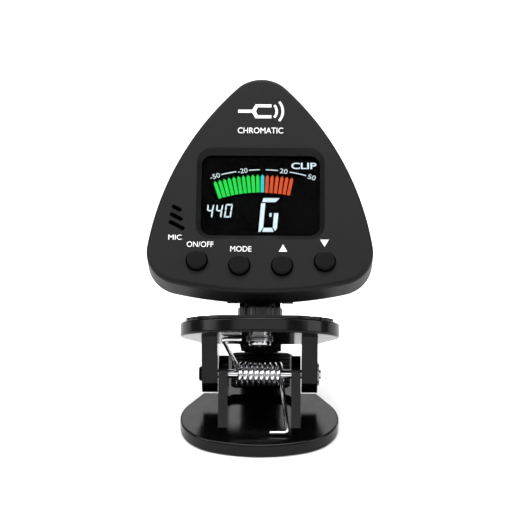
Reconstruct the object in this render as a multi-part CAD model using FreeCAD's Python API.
import FreeCAD, Part
import os
from math import sin, cos, atan2, acos, sqrt, radians, degrees, pi

# Clip-on tuner. Millimetres, +Z up, the lower clip lever lying flat on z = 0.
# +X is to the right of someone reading the display, +Y points away from them.
# Three working frames are used:
#   lever frame: pivot line at y = 0, z = PIVOT_H
#   upper frame: x, s (along the upper lever, jaws positive), n (square to it), from the pivot
#   head frame:  x, w (depth behind the face), u (height up the face), from the face's foot

V = FreeCAD.Vector
os.makedirs("parts", exist_ok=True)

# ---- clip ----
SHIFT_Y = -8.61           # puts the finished part's footprint centre at y = 0
PLATE_T = 3.2             # thickness of both levers
RIM_R = 0.5               # rounding of the discs' rims
PIVOT_GAP = 7.6           # pivot line to each lever's inner plane
PIVOT_H = PLATE_T + PIVOT_GAP
V_ANGLE = 34.0            # angle between the levers with the jaws closed
GRIP_HALF = 18.0          # half width of the squeeze discs
GRIP_FRONT = -19.05
GRIP_WIDEST = -6.5
GRIP_FRONT_R = 30.0
LOWER_REAR = (13.3, 4.5)  # half width and station where the lower disc ends
UPPER_REAR = (13.4, 7.1)
JAW_TIP = 25.8
JAW_FLARE = 1.2           # fillet where a jaw leaves its disc
JAW_OVERLAP = 1.5         # how far a jaw's root runs into its disc
LOWER_JAW_HALF = 8.0
UPPER_JAW_HALF = 4.8
JAW_CLEAR = 0.1           # each jaw's distance from the bite plane
PAD_DEPTH = 1.0
PAD_PROUD = 0.3
PAD_REACH = (7.5, 24.3)   # stations where the pads begin and end
LOWER_PAD_HALF = 6.9
UPPER_PAD_HALF = 4.0
PAD_GROOVES = 8
CHEEK_IN = 7.2
CHEEK_OUT = 9.3
LEG_IN = 9.5
LEG_OUT = 13.1
BOSS_R = 4.2
CHANNEL_DEPTH = 1.4
PIN_R = 1.0
RUN = 0.06                # radial running clearance
RIDGE_PITCH = 1.9
RIDGE_H = 0.7
RIDGE_FIRST = -17.1
RIDGE_COUNT = 4

# ---- spring ----
COIL_R = 2.25
WIRE_R = 0.5
COIL_LEFT = -5.3
COIL_RIGHT = 5.0
COIL_TURNS = 8
UPPER_HOOK = (-8.46, 7.05)   # s, n of the hook under the upper disc
LOWER_HOOK = (-11.97, 2.32)  # y, z of the hook on the channel floor

# ---- swivel and tilt hinge ----
SWIVEL_S = -4.0
SHAFT_R = 2.5
COLLAR_R = 5.05
COLLAR_FLUTES = 24
COLLAR_BASE = 10.86
COLLAR_TOP = 14.7
NECK_R = 4.6
NECK_TOP = 15.8
HINGE_N = 18.9
KNUCKLE_HALF = 4.65
KNUCKLE_R = 3.0
EAR_IN = 4.9
EAR_OUT = 7.5
EAR_R = 3.2

# ---- head ----
HEAD_LEAN = 46.5          # face's lean back from vertical
HINGE_W = 14.5
HINGE_U = 5.9
FACE_H = 52.3
APEX_R = 7.94
SIDE_R = 69.5
CORNER_R = 7.82
CORNER_X = 17.42
BOTTOM_R = 84.9
WALL = 1.5
FRONT_WALL = 2.3
PARTING = 4.8
BACK_W = 8.6
BULGE_W = 11.4
BULGE_U = (11.2, 43.2)
BULGE_INSET = 4.0
DISPLAY_U = 23.65
RECESS = (14.4, 11.15, 3.5)   # half width, half height, corner radius at the face
OPENING = (13.35, 9.75, 2.4)  # the same at the window
GLASS = (14.2, 10.7, 2.6)
RECESS_DEPTH = 1.3
BUTTONS = [("power", -13.95, 7.35), ("mode", -4.5, 6.3), ("up", 4.95, 6.25), ("down", 14.4, 7.3)]
BUTTON_R = 2.25
BUTTON_HOLE_R = 2.5
BUTTON_PROUD = 1.2
MIC_SLOTS = [(-18.7, 19.9, 1.5), (-18.75, 17.85, 2.3), (-18.6, 15.8, 3.1)]
MIC_POS = (-19.0, 17.8)
SCREWS = [(-20.0, 8.6), (20.0, 8.6), (0.0, 46.5)]
CELL_U = 28.0
CELL_R = 10.0
CELL_T = 3.2
CELL_BORE = 10.3
DOOR_R = 12.0
DOOR_T = 1.2


def solid_of(shape):
    shape = shape.removeSplitter()
    if len(shape.Solids) == 1:
        return shape.Solids[0]
    return Part.makeCompound(shape.Solids)


def box(x0, x1, y0, y1, z0, z1):
    return Part.makeBox(x1 - x0, y1 - y0, z1 - z0, V(x0, y0, z0))


def rod_x(r, x0, x1, y, z):
    return Part.makeCylinder(r, x1 - x0, V(x0, y, z), V(1, 0, 0))


def rod_y(r, y0, y1, x, z):
    return Part.makeCylinder(r, y1 - y0, V(x, y0, z), V(0, 1, 0))


def rod_z(r, z0, z1, x, y):
    return Part.makeCylinder(r, z1 - z0, V(x, y, z0), V(0, 0, 1))


def arc_about(cx, cy, r, a0, a1):
    pts = []
    for a in (a0, (a0 + a1) / 2, a1):
        pts.append(V(cx + r * cos(radians(a)), cy + r * sin(radians(a)), 0))
    return Part.Arc(pts[0], pts[1], pts[2]).toShape()


def line(a, b):
    return Part.LineSegment(V(a[0], a[1], 0), V(b[0], b[1], 0)).toShape()


def through(a, b, c):
    return Part.Arc(V(a[0], a[1], 0), V(b[0], b[1], 0), V(c[0], c[1], 0)).toShape()


def face_of(edges):
    return Part.Face(Part.Wire(Part.__sortEdges__(edges)))


def mirrored(edges):
    return [e.mirror(V(0, 0, 0), V(1, 0, 0)) for e in edges]


def edges_at_z(shape, z):
    found = []
    for e in shape.Edges:
        b = e.BoundBox
        if abs(b.ZMin - z) < 1e-4 and abs(b.ZMax - z) < 1e-4:
            found.append(e)
    return found


def upper(shape):
    out = shape.copy()
    out.rotate(V(0, 0, 0), V(1, 0, 0), -V_ANGLE)
    out.translate(V(0, 0, PIVOT_H))
    return out


def hinge_centre():
    a = radians(V_ANGLE)
    y = SWIVEL_S * cos(a) + HINGE_N * sin(a)
    z = PIVOT_H - SWIVEL_S * sin(a) + HINGE_N * cos(a)
    return V(0, y, z)


def head(shape):
    a = radians(HEAD_LEAN)
    foot = hinge_centre()
    foot = foot - V(0, cos(a), -sin(a)) * HINGE_W - V(0, sin(a), cos(a)) * HINGE_U
    out = shape.copy()
    out.rotate(V(0, 0, 0), V(1, 0, 0), -HEAD_LEAN)
    out.translate(foot)
    return out


# ---------------------------------------------------------------- levers

def grip_edges(rear):
    """Right half of a squeeze disc: front arc, corner arc, straight taper to the rear."""
    a = GRIP_WIDEST - GRIP_FRONT
    big = GRIP_FRONT_R
    r = (GRIP_HALF ** 2 + a ** 2 - 2 * a * big) / (2 * (GRIP_HALF - big))
    cx, cy = GRIP_HALF - r, GRIP_WIDEST
    fy = GRIP_FRONT + big
    join = degrees(atan2(cy - fy, cx))
    dx, dy = rear[0] - cx, rear[1] - cy
    leave = degrees(atan2(dy, dx) - acos(r / sqrt(dx * dx + dy * dy)))
    front = arc_about(0, fy, big, -90, join)
    corner = arc_about(cx, cy, r, join, leave)
    end = (cx + r * cos(radians(leave)), cy + r * sin(radians(leave)))
    return [front, corner, line(end, rear)]


def disc_face(rear):
    """Plan of a squeeze disc, closed straight across where the jaw leaves it."""
    half = grip_edges(rear)
    return face_of(half + mirrored(half) + [line((-rear[0], rear[1]), rear)])


def jaw_face(rear, jaw_half, tip_half, shoulder):
    """Plan of a jaw: a flared root inside the disc, straight sides, rounded tip."""
    root = (jaw_half + JAW_FLARE, rear[1])
    waist = (jaw_half, rear[1] + JAW_FLARE)
    start = (root[0], rear[1] - JAW_OVERLAP)
    knee = (tip_half, JAW_TIP - 1.1)
    bow = (tip_half + 0.78 * (jaw_half - tip_half), shoulder + 0.6 * (knee[1] - shoulder))
    half = [line(start, root)]
    half.append(through(root, (jaw_half + 0.3 * JAW_FLARE, rear[1] + 0.3 * JAW_FLARE), waist))
    half.append(line(waist, (jaw_half, shoulder)))
    half.append(through((jaw_half, shoulder), bow, knee))
    ends = [through(knee, (0, JAW_TIP), (-knee[0], knee[1])), line((-start[0], start[1]), start)]
    return face_of(half + mirrored(half) + ends)


def lever_plate(rear, jaw_half, tip_half, shoulder):
    """One lever's flat plate: a disc with rounded rims, and a jaw with crisp corners."""
    disc = disc_face(rear).extrude(V(0, 0, PLATE_T))
    rims = edges_at_z(disc, 0) + edges_at_z(disc, PLATE_T)
    disc = disc.makeFillet(RIM_R, [e for e in rims if e.BoundBox.YMin < rear[1] - 0.1])
    return disc.fuse(jaw_face(rear, jaw_half, tip_half, shoulder).extrude(V(0, 0, PLATE_T)))


def side_plate(x0, x1, front, rear, top):
    """Upright web from a lever's plate to the pivot boss; y, z profile, pivot at the origin."""
    pts = []
    for foot, side in ((front, -1), (rear, 1)):
        d = sqrt(foot ** 2 + top ** 2)
        a = atan2(top, foot)
        t = a - side * acos(BOSS_R / d) if top > 0 else a + side * acos(BOSS_R / d)
        pts.append(V(0, BOSS_R * cos(t), BOSS_R * sin(t)))
    over = 1.0 if top > 0 else -1.0
    a = V(0, front, top)
    b = V(0, rear, top)
    loop = [a, pts[0], pts[1], b, b + V(0, 0, over), a + V(0, 0, over), a]
    web = Part.Face(Part.makePolygon(loop)).extrude(V(x1 - x0, 0, 0))
    web.translate(V(x0, 0, 0))
    return web.fuse(rod_x(BOSS_R, x0, x1, 0, 0))


def pair(maker):
    """A right-hand piece and its mirror image."""
    right = maker()
    return right, right.mirror(V(0, 0, 0), V(1, 0, 0))


def bite_cut(below):
    """Everything on the far side of the bite plane, behind station 12; pivot at the origin."""
    if below:
        tool = box(-30, 30, 12, 45, -JAW_CLEAR, 20)
        tool.rotate(V(0, 0, 0), V(1, 0, 0), -V_ANGLE / 2)
    else:
        tool = box(-30, 30, 12, 45, -20, JAW_CLEAR)
        tool.rotate(V(0, 0, 0), V(1, 0, 0), V_ANGLE / 2)
    return tool


def pad_block(half, z0, z1):
    block = box(-half, half, PAD_REACH[0], PAD_REACH[1], z0, z1)
    uprights = [e for e in block.Edges if e.BoundBox.ZLength > 0.5 * (z1 - z0)]
    return block.makeFillet(1.5, uprights)


def lower_arm():
    plate = lever_plate(LOWER_REAR, LOWER_JAW_HALF, 5.6, 21.5)
    plate.translate(V(0, 0, -PIVOT_H))
    for web in pair(lambda: side_plate(CHEEK_IN, CHEEK_OUT, -11.3, 4.4, -PIVOT_GAP)):
        plate = plate.fuse(web)
    floor = -PIVOT_GAP - CHANNEL_DEPTH
    channel = box(-CHEEK_IN, CHEEK_IN, -16.6, 4.0, floor, -PIVOT_GAP + 1)
    corners = [e for e in channel.Edges if e.BoundBox.ZLength > 2]
    plate = plate.cut(channel.makeFillet(1.4, corners))
    plate = plate.cut(pad_block(LOWER_PAD_HALF, -PIVOT_GAP - PAD_DEPTH, -PIVOT_GAP + 3))
    plate = plate.cut(bite_cut(True))
    plate = plate.cut(rod_x(PIN_R, -20, 20, 0, 0))
    plate.translate(V(0, 0, PIVOT_H))
    return solid_of(plate)


def lower_jaw_pad():
    pad = pad_block(LOWER_PAD_HALF, -PIVOT_GAP - PAD_DEPTH, -PIVOT_GAP + PAD_PROUD)
    for k in range(PAD_GROOVES):
        y = PAD_REACH[0] + 1.8 * (k + 1)
        pad = pad.cut(box(-8, 8, y, y + 0.6, -PIVOT_GAP + 0.05, -PIVOT_GAP + 1))
    pad = pad.cut(bite_cut(True))
    pad.translate(V(0, 0, PIVOT_H))
    return solid_of(pad)


def ridges(plan):
    block = plan.extrude(V(0, 0, PIVOT_GAP + PLATE_T + RIDGE_H))
    bars = None
    for k in range(RIDGE_COUNT):
        y = RIDGE_FIRST + RIDGE_PITCH * k
        bar = box(-30, 30, y, y + 1.0, PIVOT_GAP + PLATE_T - 0.5, 40)
        bars = bar if bars is None else bars.fuse(bar)
    return block.common(bars)


def upper_arm():
    top = PIVOT_GAP + PLATE_T
    plate = lever_plate(UPPER_REAR, UPPER_JAW_HALF, 3.2, 22.5)
    plate.translate(V(0, 0, PIVOT_GAP))
    small = disc_face(UPPER_REAR)
    small.scale(0.963, V(0, 0, 0))
    plate = plate.fuse(ridges(small))
    for web in pair(lambda: side_plate(LEG_IN, LEG_OUT, -8.5, 6.6, PIVOT_GAP)):
        plate = plate.fuse(web)
    plate = plate.cut(rod_z(SHAFT_R + RUN, 0, top + 2, 0, SWIVEL_S))
    plate = plate.cut(pad_block(UPPER_PAD_HALF, PIVOT_GAP - 3, PIVOT_GAP + PAD_DEPTH))
    plate = plate.cut(bite_cut(False))
    plate = plate.cut(rod_x(PIN_R + RUN, -20, 20, 0, 0))
    return upper(solid_of(plate))


def upper_jaw_pad():
    pad = pad_block(UPPER_PAD_HALF, PIVOT_GAP - PAD_PROUD, PIVOT_GAP + PAD_DEPTH)
    for k in range(PAD_GROOVES):
        y = PAD_REACH[0] + 1.8 * (k + 1)
        pad = pad.cut(box(-8, 8, y, y + 0.6, PIVOT_GAP - 1, PIVOT_GAP - 0.05))
    pad = pad.cut(bite_cut(False))
    return upper(solid_of(pad))


def pivot_pin():
    pin = rod_x(PIN_R, -LEG_OUT - 0.3, LEG_OUT + 0.8, 0, PIVOT_H)
    dome = rod_x(1.65, -LEG_OUT - 0.8, -LEG_OUT - 0.08, 0, PIVOT_H)
    outer = [e for e in dome.Edges if e.BoundBox.XMax < -LEG_OUT - 0.7]
    return solid_of(pin.fuse(dome.makeFillet(0.4, outer)))


def pin_star_washer():
    x0 = LEG_OUT + 0.08
    disc = rod_x(2.55, x0, x0 + 0.35, 0, PIVOT_H)
    disc = disc.cut(rod_x(PIN_R, x0 - 1, x0 + 2, 0, PIVOT_H))
    for k in range(12):
        a = radians(30 * k)
        y, z = 2.65 * cos(a), PIVOT_H + 2.65 * sin(a)
        disc = disc.cut(rod_x(0.32, x0 - 1, x0 + 2, y, z))
    return solid_of(disc)


# ---------------------------------------------------------------- spring

def rounded_run(corners, radius, step):
    """Points along a bent wire: straight runs with its corners rounded."""
    pts = [corners[0]]
    for i in range(1, len(corners) - 1):
        a = (corners[i - 1] - corners[i]).normalize()
        b = (corners[i + 1] - corners[i]).normalize()
        p0 = corners[i] + a * radius
        p1 = corners[i] + b * radius
        far = (p0 - pts[-1]).Length
        count = max(1, int(far / step))
        start = pts[-1]
        for k in range(1, count + 1):
            pts.append(start + (p0 - start) * (k / count))
        for t in (0.25, 0.5, 0.75):
            pts.append(p0 * (1 - t) ** 2 + corners[i] * (2 * t * (1 - t)) + p1 * t ** 2)
        pts.append(p1)
    start = pts[-1]
    count = max(1, int((corners[-1] - start).Length / step))
    for k in range(1, count + 1):
        pts.append(start + (corners[-1] - start) * (k / count))
    return pts


def tangent_angle(y, z, side):
    d = sqrt(y * y + z * z)
    return degrees(atan2(z, y) + side * acos(COIL_R / d))


def spring_path():
    """Hook, upper leg, coil, lower leg, hook; pivot at the origin."""
    a = radians(V_ANGLE)
    hs, hn = UPPER_HOOK
    uy = hs * cos(a) + hn * sin(a)
    uz = -hs * sin(a) + hn * cos(a)
    ly, lz = LOWER_HOOK[0], LOWER_HOOK[1] - PIVOT_H
    t0 = tangent_angle(uy, uz, -1)
    t1 = tangent_angle(ly, lz, 1)
    while t1 > t0:
        t1 -= 360
    t1 -= 360 * COIL_TURNS
    pts = rounded_run([V(-4.1, uy, uz), V(-8.3, uy, uz),
                       V(COIL_LEFT, COIL_R * cos(radians(t0)), COIL_R * sin(radians(t0)))], 1.0, 1.2)
    count = 16 * (COIL_TURNS + 1)
    for k in range(1, count):
        f = k / count
        t = radians(t0 + (t1 - t0) * f)
        pts.append(V(COIL_LEFT + (COIL_RIGHT - COIL_LEFT) * f, COIL_R * cos(t), COIL_R * sin(t)))
    lower = rounded_run([V(COIL_RIGHT, COIL_R * cos(radians(t1)), COIL_R * sin(radians(t1))),
                         V(6.4, ly, lz), V(2.4, ly, lz)], 1.0, 1.2)
    return pts + lower


def wire_section(p, along, across):
    """Round section of the wire at p, its seam turned towards the across direction."""
    other = along.cross(across)
    m = FreeCAD.Matrix(across.x, other.x, along.x, p.x,
                       across.y, other.y, along.y, p.y,
                       across.z, other.z, along.z, p.z)
    ring = Part.Wire([Part.Circle(V(0, 0, 0), V(0, 0, 1), WIRE_R).toShape()])
    ring.Placement = FreeCAD.Placement(m)
    return ring


def torsion_spring():
    pts = spring_path()
    across = V(0, 0, 1)
    rings = []
    for i, p in enumerate(pts):
        along = (pts[min(i + 1, len(pts) - 1)] - pts[max(i - 1, 0)]).normalize()
        across = (across - along * across.dot(along)).normalize()
        rings.append(wire_section(p, along, across))
    skins = [Part.Face(rings[0]), Part.Face(rings[-1])]
    for i in range(0, len(rings) - 1, 12):
        skins += Part.makeLoft(rings[i:i + 13], False, True).Faces
    shell = Part.makeCompound(skins)
    shell.sewShape(0.001)
    wire = Part.Solid(shell.Shells[0] if shell.Shells else shell)
    wire.translate(V(0, 0, PIVOT_H))
    return wire


# ---------------------------------------------------------------- swivel

def swivel_neck():
    neck = rod_z(SHAFT_R, PIVOT_GAP - 0.1, COLLAR_BASE + 0.5, 0, SWIVEL_S)
    neck = neck.fuse(rod_z(3.6, COLLAR_BASE, COLLAR_TOP, 0, SWIVEL_S))
    neck = neck.fuse(rod_z(NECK_R, COLLAR_TOP, NECK_TOP, 0, SWIVEL_S))
    stem = box(-KNUCKLE_HALF, KNUCKLE_HALF, SWIVEL_S - KNUCKLE_R, SWIVEL_S + KNUCKLE_R, COLLAR_TOP, HINGE_N)
    stem = stem.common(rod_z(5.5, COLLAR_TOP, HINGE_N, 0, SWIVEL_S))
    neck = neck.fuse(stem)
    neck = neck.fuse(rod_x(KNUCKLE_R, -KNUCKLE_HALF, KNUCKLE_HALF, SWIVEL_S, HINGE_N))
    neck = neck.cut(rod_x(PIN_R + RUN, -10, 10, SWIVEL_S, HINGE_N))
    neck = neck.cut(rod_z(1.0, 0, 13.6, 0, SWIVEL_S))
    return upper(solid_of(neck))


def grip_collar():
    ring = rod_z(COLLAR_R, COLLAR_BASE, COLLAR_TOP, 0, SWIVEL_S)
    ring = ring.makeFillet(0.4, [e for e in ring.Edges if e.BoundBox.ZLength < 0.01])
    for k in range(COLLAR_FLUTES):
        a = 2 * pi * k / COLLAR_FLUTES
        x = (COLLAR_R + 0.22) * cos(a)
        y = SWIVEL_S + (COLLAR_R + 0.22) * sin(a)
        ring = ring.cut(rod_z(0.45, COLLAR_BASE - 1, COLLAR_TOP + 1, x, y))
    ring = ring.cut(rod_z(3.6, 0, 30, 0, SWIVEL_S))
    return upper(solid_of(ring))


def swivel_screw():
    pan = rod_z(2.45, 6.0, 7.0, 0, SWIVEL_S)
    pan = pan.makeFillet(0.4, edges_at_z(pan, 6.0))
    pan = pan.fuse(rod_z(1.0, 6.9, 13.4, 0, SWIVEL_S))
    for wide in ((1.5, 0.3), (0.3, 1.5)):
        pan = pan.cut(box(-wide[0], wide[0], SWIVEL_S - wide[1], SWIVEL_S + wide[1], 5.0, 6.5))
    return upper(solid_of(pan))


def swivel_washer():
    ring = rod_z(3.0, 7.0, 7.5, 0, SWIVEL_S).cut(rod_z(1.0, 6, 9, 0, SWIVEL_S))
    return upper(solid_of(ring))


# ---------------------------------------------------------------- head

def outline_edges(inset):
    """Pick-shaped outline as seven tangent arcs, every radius reduced by the inset."""
    corner_u = BOTTOM_R - sqrt((BOTTOM_R - CORNER_R) ** 2 - CORNER_X ** 2)
    apex_u = FACE_H - APEX_R
    far_a, far_b = SIDE_R - APEX_R, SIDE_R - CORNER_R
    dx, dy = CORNER_X, corner_u - apex_u
    d = sqrt(dx * dx + dy * dy)
    t = (far_a ** 2 - far_b ** 2 + d * d) / (2 * d)
    h = sqrt(far_a ** 2 - t * t)
    sx = t * dx / d + h * dy / d
    su = apex_u + t * dy / d - h * dx / d
    to_apex = degrees(atan2(apex_u - su, -sx))
    to_corner = degrees(atan2(corner_u - su, CORNER_X - sx))
    low = degrees(atan2(corner_u - BOTTOM_R, CORNER_X))
    right = [arc_about(sx, su, SIDE_R - inset, to_corner, to_apex),
             arc_about(CORNER_X, corner_u, CORNER_R - inset, low, to_corner)]
    top = arc_about(0, apex_u, APEX_R - inset, to_apex, 180 - to_apex)
    foot = arc_about(0, BOTTOM_R, BOTTOM_R - inset, -180 - low, low)
    return right + mirrored(right) + [top, foot]


def stand_up(shape, w0):
    """Turns a plan drawn in x, u into one standing at depth w0."""
    shape.rotate(V(0, 0, 0), V(1, 0, 0), 90)
    shape.translate(V(0, w0, 0))
    return shape


def slab(inset, w0, w1):
    face = face_of(outline_edges(inset))
    return stand_up(face.extrude(V(0, 0, w0 - w1)), w0)


def rim(shape, w):
    return [e for e in shape.Edges if abs(e.BoundBox.YMin - w) < 1e-4 and abs(e.BoundBox.YMax - w) < 1e-4]


def rounded_wire(half_x, half_u, r, w):
    x, u = half_x, half_u
    e = [line((-x + r, -u), (x - r, -u)), arc_about(x - r, -u + r, r, -90, 0),
         line((x, -u + r), (x, u - r)), arc_about(x - r, u - r, r, 0, 90),
         line((x - r, u), (-x + r, u)), arc_about(-x + r, u - r, r, 90, 180),
         line((-x, u - r), (-x, -u + r)), arc_about(-x + r, -u + r, r, 180, 270)]
    wire = Part.Wire(e)
    wire.translate(V(0, DISPLAY_U, 0))
    return stand_up(wire, w)


def rounded_plate(half_x, half_u, r, w0, w1):
    return Part.Face(rounded_wire(half_x, half_u, r, w0)).extrude(V(0, w1 - w0, 0))


def mic_slot(x, u, length):
    cut = box(-length / 2, length / 2, -1, 5, -0.5, 0.5)
    cut = cut.fuse(rod_y(0.5, -1, 5, -length / 2, 0)).fuse(rod_y(0.5, -1, 5, length / 2, 0))
    cut.rotate(V(0, 0, 0), V(0, 1, 0), 29)
    cut.translate(V(x, 0, u))
    return cut


def front_housing():
    body = slab(0, 0, PARTING)
    body = body.makeFillet(1.0, rim(body, 0))
    body = body.cut(slab(WALL, FRONT_WALL, PARTING + 1))
    for x, u in SCREWS:
        body = body.fuse(rod_y(2.2, FRONT_WALL - 0.5, PARTING, x, u))
        body = body.cut(rod_y(0.8, FRONT_WALL, PARTING + 1, x, u))
    dish = Part.makeLoft([rounded_wire(*RECESS, 0), rounded_wire(*OPENING, RECESS_DEPTH)], True, True)
    body = body.cut(dish)
    body = body.cut(rounded_plate(*OPENING, 0.5, FRONT_WALL + 0.5))
    body = body.cut(rounded_plate(*GLASS, RECESS_DEPTH, FRONT_WALL + 0.5))
    for name, x, u in BUTTONS:
        body = body.cut(rod_y(BUTTON_HOLE_R, -1, 4, x, u))
    for x, u, length in MIC_SLOTS:
        body = body.cut(mic_slot(x, u, length))
    return head(solid_of(body))


def ear(x0, x1):
    """Hinge ear: a foot on the back cover running out to a round end at the tilt line."""
    foot_lo, foot_hi = 2.3, 10.9
    pts = []
    for u, side in ((foot_lo, 1), (foot_hi, -1)):
        y, z = BACK_W - 1.0 - HINGE_W, u - HINGE_U
        t = atan2(z, y) + side * acos(EAR_R / sqrt(y * y + z * z))
        pts.append((HINGE_W + EAR_R * cos(t), HINGE_U + EAR_R * sin(t)))
    w = BACK_W - 1.0
    loop = [(w, foot_lo), pts[0], pts[1], (w, foot_hi), (w, foot_lo)]
    web = Part.Face(Part.makePolygon([V(0, a, b) for a, b in loop])).extrude(V(x1 - x0, 0, 0))
    web.translate(V(x0, 0, 0))
    return web.fuse(rod_x(EAR_R, x0, x1, HINGE_W, HINGE_U))


def back_cover():
    body = slab(0, PARTING, BACK_W)
    body = body.makeFillet(1.4, rim(body, BACK_W))
    bulge = slab(BULGE_INSET, BACK_W - 0.5, BULGE_W)
    bulge = bulge.common(box(-40, 40, 0, 30, BULGE_U[0], BULGE_U[1]))
    bulge = bulge.makeFillet(1.2, rim(bulge, BULGE_W))
    body = body.fuse(bulge)
    body = body.cut(slab(WALL, PARTING - 1, BACK_W - WALL))
    body = body.fuse(rod_y(DOOR_R + 0.8, 6.2, BACK_W, 0, CELL_U))
    for x, u in SCREWS:
        body = body.fuse(rod_y(2.2, PARTING, BACK_W - 1.0, x, u))
        body = body.cut(rod_y(1.05, 0, BACK_W + 1, x, u))
        body = body.cut(rod_y(1.9, 7.4, BACK_W + 4, x, u))
    body = body.cut(rod_y(CELL_BORE, 6.8, 20, 0, CELL_U))
    body = body.cut(rod_y(DOOR_R + 0.08, BULGE_W - DOOR_T, 20, 0, CELL_U))
    body = body.cut(box(-1.6, 1.6, 6.0, 7.0, CELL_U - 1.1, CELL_U + 1.1))
    body = body.cut(box(-1.6, 1.6, 6.0, 7.0, CELL_U + CELL_R - 0.2, CELL_U + CELL_BORE))
    for side in (-1, 1):
        lo, hi = sorted((side * EAR_IN, side * EAR_OUT))
        body = body.fuse(ear(lo, hi))
    body = body.cut(rod_x(PIN_R, -20, 20, HINGE_W, HINGE_U))
    return head(solid_of(body))


def battery_door():
    disc = rod_y(DOOR_R, BULGE_W - DOOR_T + 0.03, BULGE_W, 0, CELL_U)
    disc = disc.makeFillet(0.3, rim(disc, BULGE_W))
    slot = box(-6.5, 6.5, BULGE_W - 0.6, BULGE_W + 1, CELL_U - 0.9, CELL_U + 0.9)
    return head(solid_of(disc.cut(slot)))


def display_window():
    half_x, half_u, r = GLASS
    return head(rounded_plate(half_x - 0.03, half_u - 0.03, r - 0.03, RECESS_DEPTH, FRONT_WALL))


def lcd_panel():
    return head(box(-14.1, 14.1, 2.35, 4.0, DISPLAY_U - 10.6, DISPLAY_U + 10.6))


def backlight_frame():
    return head(box(-13.8, 13.8, 4.0, 4.9, DISPLAY_U - 8.2, DISPLAY_U + 10.4))


def zebra_strip():
    return head(box(-12.0, 12.0, 4.0, 5.0, DISPLAY_U - 10.4, DISPLAY_U - 8.8))


def circuit_board():
    board = slab(2.6, 5.0, 6.0)
    for x, u in SCREWS:
        board = board.cut(rod_y(2.5, 4, 7, x, u))
    board = board.cut(box(-30, 30, 4, 7, 47.5, 60))
    board = board.cut(box(-30, 30, 4, 7, -5, 3.4))
    return head(solid_of(board))


def controller_chip():
    return head(box(-12.0, -7.0, 6.0, 6.8, 8.8, 13.8))


def tact_switch(x, u):
    body = box(x - 2.1, x + 2.1, 3.6, 5.0, u - 2.1, u + 2.1)
    return head(body.cut(rod_y(0.78, 3.0, 4.8, x, u)))


def button_cap(x, u):
    cap = rod_y(BUTTON_R, -BUTTON_PROUD, 2.5, x, u)
    cap = cap.makeFillet(0.45, rim(cap, -BUTTON_PROUD))
    return head(solid_of(cap.fuse(rod_y(2.85, 2.4, 2.9, x, u))))


def switch_plunger(x, u):
    return head(rod_y(0.7, 2.9, 4.2, x, u))


def mic_capsule():
    return head(rod_y(2.2, 2.9, 4.6, MIC_POS[0], MIC_POS[1]))


def mic_boot():
    """Rubber cup over the capsule, its thin front closed behind the slots."""
    cup = rod_y(2.6, 2.35, 4.9, MIC_POS[0], MIC_POS[1])
    return head(cup.cut(rod_y(2.2, 2.9, 6.0, MIC_POS[0], MIC_POS[1])))


def piezo_disc():
    return head(rod_y(4.5, 6.6, 7.1, 0, 7.4))


def coin_cell():
    cell = rod_y(CELL_R, 6.98, 6.98 + CELL_T, 0, CELL_U)
    return head(cell.makeFillet(0.3, rim(cell, 6.98) + rim(cell, 6.98 + CELL_T)))


def contact_negative():
    strip = box(-1.4, 1.4, 6.8, 6.95, CELL_U - 6.0, CELL_U + 6.0)
    return head(solid_of(strip.fuse(box(-1.4, 1.4, 6.0, 6.9, CELL_U - 0.9, CELL_U + 0.9))))


def contact_positive():
    ring = rod_y(CELL_R + 0.28, 6.0, 9.6, 0, CELL_U).cut(rod_y(CELL_R + 0.04, 5, 11, 0, CELL_U))
    return head(solid_of(ring.common(box(-1.4, 1.4, 5, 11, CELL_U, CELL_U + 12))))


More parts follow.
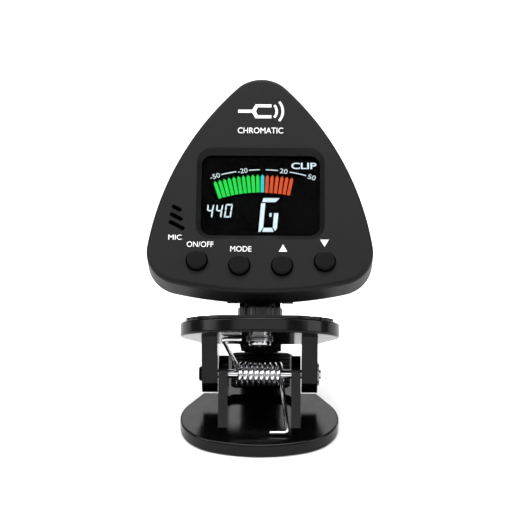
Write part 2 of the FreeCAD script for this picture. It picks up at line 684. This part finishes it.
def housing_screw(x, u):
    screw = rod_y(1.7, 7.4, 8.3, x, u)
    screw = screw.makeFillet(0.3, rim(screw, 8.3)).fuse(rod_y(0.8, 3.0, 7.6, x, u))
    for a, b in ((1.1, 0.22), (0.22, 1.1)):
        screw = screw.cut(box(x - a, x + a, 7.8, 9.0, u - b, u + b))
    return head(solid_of(screw))


def hinge_pin():
    pin = rod_x(PIN_R, -EAR_OUT, EAR_OUT, HINGE_W, HINGE_U)
    for x0 in (-EAR_OUT - 0.6, EAR_OUT):
        pin = pin.fuse(rod_x(1.7, x0, x0 + 0.6, HINGE_W, HINGE_U))
    return head(solid_of(pin))


def hinge_washer(x0):
    ring = rod_x(2.6, x0, x0 + 0.17, HINGE_W, HINGE_U)
    return head(ring.cut(rod_x(PIN_R, x0 - 1, x0 + 1, HINGE_W, HINGE_U)))


# ---------------------------------------------------------------- assembly

def pieces():
    made = {"lower_arm": lower_arm(), "lower_jaw_pad": lower_jaw_pad(), "upper_arm": upper_arm(),
            "upper_jaw_pad": upper_jaw_pad(), "pivot_pin": pivot_pin(),
            "pin_star_washer": pin_star_washer(), "torsion_spring": torsion_spring(),
            "swivel_neck": swivel_neck(), "grip_collar": grip_collar(),
            "swivel_screw": swivel_screw(), "swivel_washer": swivel_washer(),
            "front_housing": front_housing(), "back_cover": back_cover(),
            "battery_door": battery_door(), "display_window": display_window(),
            "lcd_panel": lcd_panel(), "backlight_frame": backlight_frame(),
            "zebra_strip": zebra_strip(), "circuit_board": circuit_board(),
            "controller_chip": controller_chip(), "mic_capsule": mic_capsule(),
            "mic_boot": mic_boot(), "piezo_disc": piezo_disc(), "coin_cell": coin_cell(),
            "contact_positive": contact_positive(), "contact_negative": contact_negative(),
            "hinge_pin": hinge_pin()}
    for name, x, u in BUTTONS:
        made["button_" + name] = button_cap(x, u)
        made["plunger_" + name] = switch_plunger(x, u)
        made["switch_" + name] = tact_switch(x, u)
    for name, place in zip(("left", "right", "top"), SCREWS):
        made["housing_screw_" + name] = housing_screw(place[0], place[1])
    made["hinge_washer_left"] = hinge_washer(-EAR_IN)
    made["hinge_washer_right"] = hinge_washer(EAR_IN - 0.17)
    return made


for node, shape in pieces().items():
    shape.translate(V(0, SHIFT_Y, 0))
    shape.exportStep("parts/%s.step" % node)
